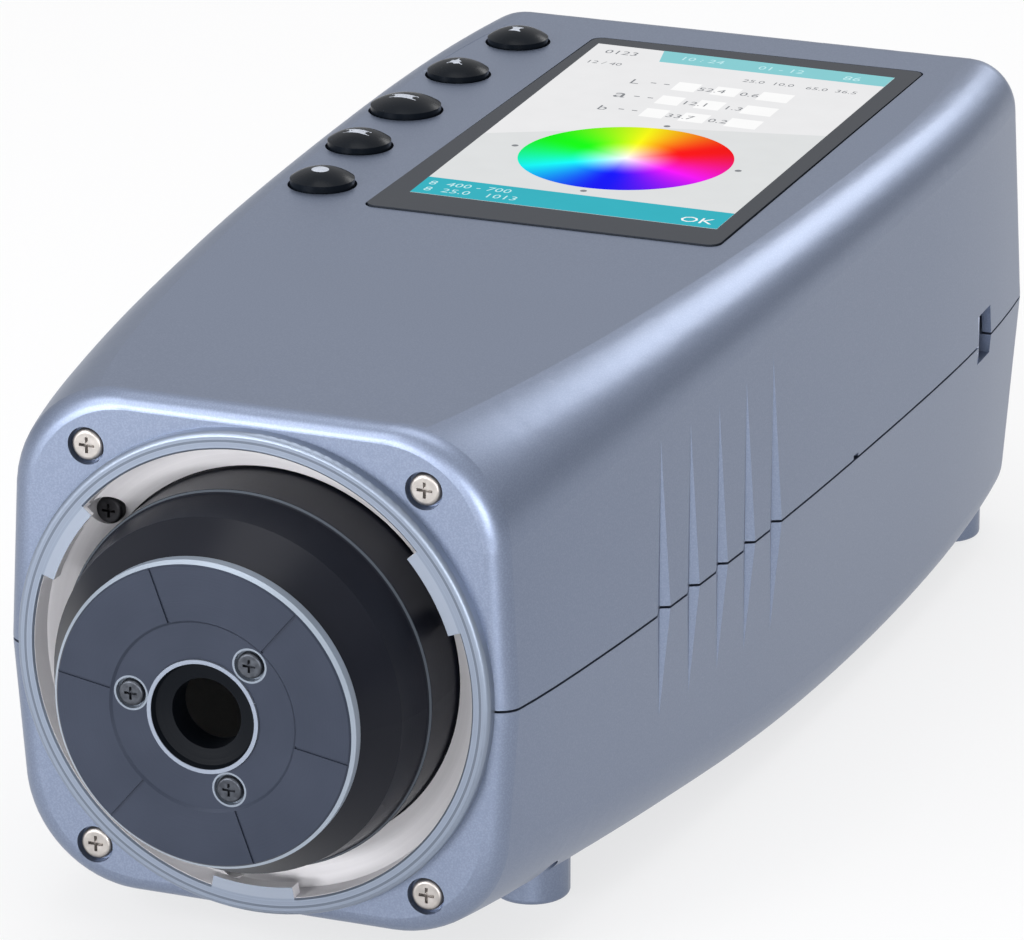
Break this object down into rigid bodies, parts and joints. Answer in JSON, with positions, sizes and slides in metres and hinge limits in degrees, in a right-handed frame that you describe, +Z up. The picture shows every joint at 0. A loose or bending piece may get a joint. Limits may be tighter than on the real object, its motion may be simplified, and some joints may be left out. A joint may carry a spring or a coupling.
{
  "type": "portable colorimeter",
  "caption": "Handheld silver-blue colorimeter with a round measuring head in front, a deck display with round keys and grip grooves on both sides.",
  "frame": {"origin": "middle of the whole length and width, on the surface that the feet stand on", "axes": "+Z up; the measuring head faces -Y, so +Y runs back along the body; +X is to the right seen from the front"},
  "size_m": [0.0794, 0.1806, 0.0662],
  "materials": {
    "body_paint": "satin metallic",
    "collar_metal": "bright anodised",
    "plate_metal": "as machined",
    "drum_black": "gloss",
    "disc_metal": "satin anodised",
    "dark_metal": "matt black",
    "screw_steel": "satin",
    "screw_black": "black oxide",
    "sphere_white": "matt white lining",
    "window_glass": "gloss",
    "key_gloss": "gloss",
    "inner_plastic": "matt",
    "board_green": "solder mask",
    "chip_black": "matt",
    "ribbon_orange": "polyimide film",
    "battery_wrap": "heat-shrink film",
    "lamp_cover": "clear resin",
    "lens_glass": "polished",
    "socket_steel": "satin"
  },
  "bodies": {
    "instrument": {"upper_housing": "body_paint", "lower_housing": "body_paint", "feet": "body_paint", "strap_bar": "screw_steel", "bayonet_collar": "collar_metal", "face_screws": "screw_steel", "collar_screws": "screw_black", "chassis_plate": "plate_metal", "sensor_drum": "drum_black", "nose_disc": "disc_metal", "disc_screws": "screw_steel", "aperture_ring": "dark_metal", "sphere_front": "sphere_white", "sphere_rear": "sphere_white", "sphere_screws": "screw_steel", "detector_tube": "dark_metal", "detector_lens": "lens_glass", "sensor_board": "board_green", "light_sensor": "chip_black", "lamp_board": "board_green", "lamp_led": "lamp_cover", "display_window": "window_glass", "display_module": "socket_steel", "display_board": "board_green", "display_board_screws": "screw_steel", "key_switches": "chip_black", "battery_pack": "battery_wrap", "battery_tray": "inner_plastic", "tray_screws": "screw_steel", "main_board": "board_green", "main_board_screws": "screw_steel", "board_chips": "chip_black", "display_ribbon": "ribbon_orange", "socket_board": "board_green", "socket_board_screws": "screw_steel", "data_socket": "socket_steel", "power_socket": "chip_black", "power_switch": "chip_black", "rear_panel": "inner_plastic", "measure_switch": "chip_black", "switch_board": "board_green", "housing_screws": "screw_steel"},
    "key_1": {"key_1": "key_gloss"},
    "key_2": {"key_2": "key_gloss"},
    "key_3": {"key_3": "key_gloss"},
    "key_4": {"key_4": "key_gloss"},
    "key_5": {"key_5": "key_gloss"},
    "measure_button": {"measure_button": "key_gloss"},
    "power_slider": {"power_slider": "key_gloss"},
    "battery_cover": {"battery_cover": "body_paint"}
  },
  "joints": [
    {"name": "key_1_press", "type": "slide", "parent": "instrument", "child": "key_1", "axis": [0, 0, -1], "range_m": [0, 0.0008], "stiffness_N_per_m": 1500},
    {"name": "key_2_press", "type": "slide", "parent": "instrument", "child": "key_2", "axis": [0, 0, -1], "range_m": [0, 0.0008], "stiffness_N_per_m": 1500},
    {"name": "key_3_press", "type": "slide", "parent": "instrument", "child": "key_3", "axis": [0, 0, -1], "range_m": [0, 0.0008], "stiffness_N_per_m": 1500},
    {"name": "key_4_press", "type": "slide", "parent": "instrument", "child": "key_4", "axis": [0, 0, -1], "range_m": [0, 0.0008], "stiffness_N_per_m": 1500},
    {"name": "key_5_press", "type": "slide", "parent": "instrument", "child": "key_5", "axis": [0, 0, -1], "range_m": [0, 0.0008], "stiffness_N_per_m": 1500},
    {"name": "measure_press", "type": "slide", "parent": "instrument", "child": "measure_button", "axis": [1, 0, 0], "range_m": [0, 0.001], "stiffness_N_per_m": 2000},
    {"name": "power_slide", "type": "slide", "parent": "instrument", "child": "power_slider", "axis": [1, 0, 0], "range_m": [0, 0.004]},
    {"name": "cover_lift", "type": "slide", "parent": "instrument", "child": "battery_cover", "axis": [0, 0, -1], "range_m": [0, 0.012]}
  ]
}
